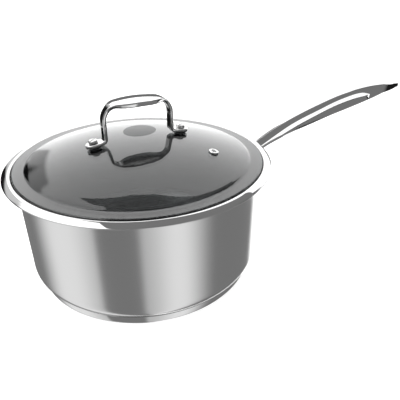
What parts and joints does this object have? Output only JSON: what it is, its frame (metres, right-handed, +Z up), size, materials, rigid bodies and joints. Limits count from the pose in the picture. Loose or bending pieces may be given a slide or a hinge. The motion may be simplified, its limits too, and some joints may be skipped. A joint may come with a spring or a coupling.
{
  "type": "saucepan with glass lid",
  "caption": "Stainless-steel saucepan with a flat encapsulated base, a pouring rim, a long curved handle, and a lift-off glass lid with a bent steel loop and a steam vent.",
  "frame": {"origin": "centre of the base's flat underside, where the pan stands", "axes": "+Z up along the pan's axis, +X along the long handle"},
  "size_m": [0.4278, 0.222, 0.1508],
  "materials": {
    "satin_steel": "satin drawn stainless steel with a polished rim",
    "polished_steel": "mirror-polished stainless steel",
    "fastener_steel": "bright stainless steel fasteners",
    "aluminium": "plain aluminium disc",
    "clear_glass": "clear tempered glass with a ground edge",
    "silicone": "matt black silicone"
  },
  "bodies": {
    "pan": {"pan_body": "satin_steel", "base_core": "aluminium", "base_capsule": "polished_steel", "handle_saddle": "polished_steel", "long_handle": "polished_steel"},
    "lid": {"lid_glass": "clear_glass", "vent_eyelet": "fastener_steel", "vent_washer": "fastener_steel", "lid_loop": "polished_steel", "lid_screw_right": "fastener_steel", "lid_screw_left": "fastener_steel", "foot_pad_right": "silicone", "foot_pad_left": "silicone", "inner_seal_right": "silicone", "inner_seal_left": "silicone", "inner_washer_right": "fastener_steel", "inner_washer_left": "fastener_steel", "cap_nut_right": "fastener_steel", "cap_nut_left": "fastener_steel"}
  },
  "joints": [
    {"name": "lid_lift", "type": "slide", "parent": "pan", "child": "lid", "axis": [0, 0, 1], "range_m": [0, 0.08]}
  ]
}
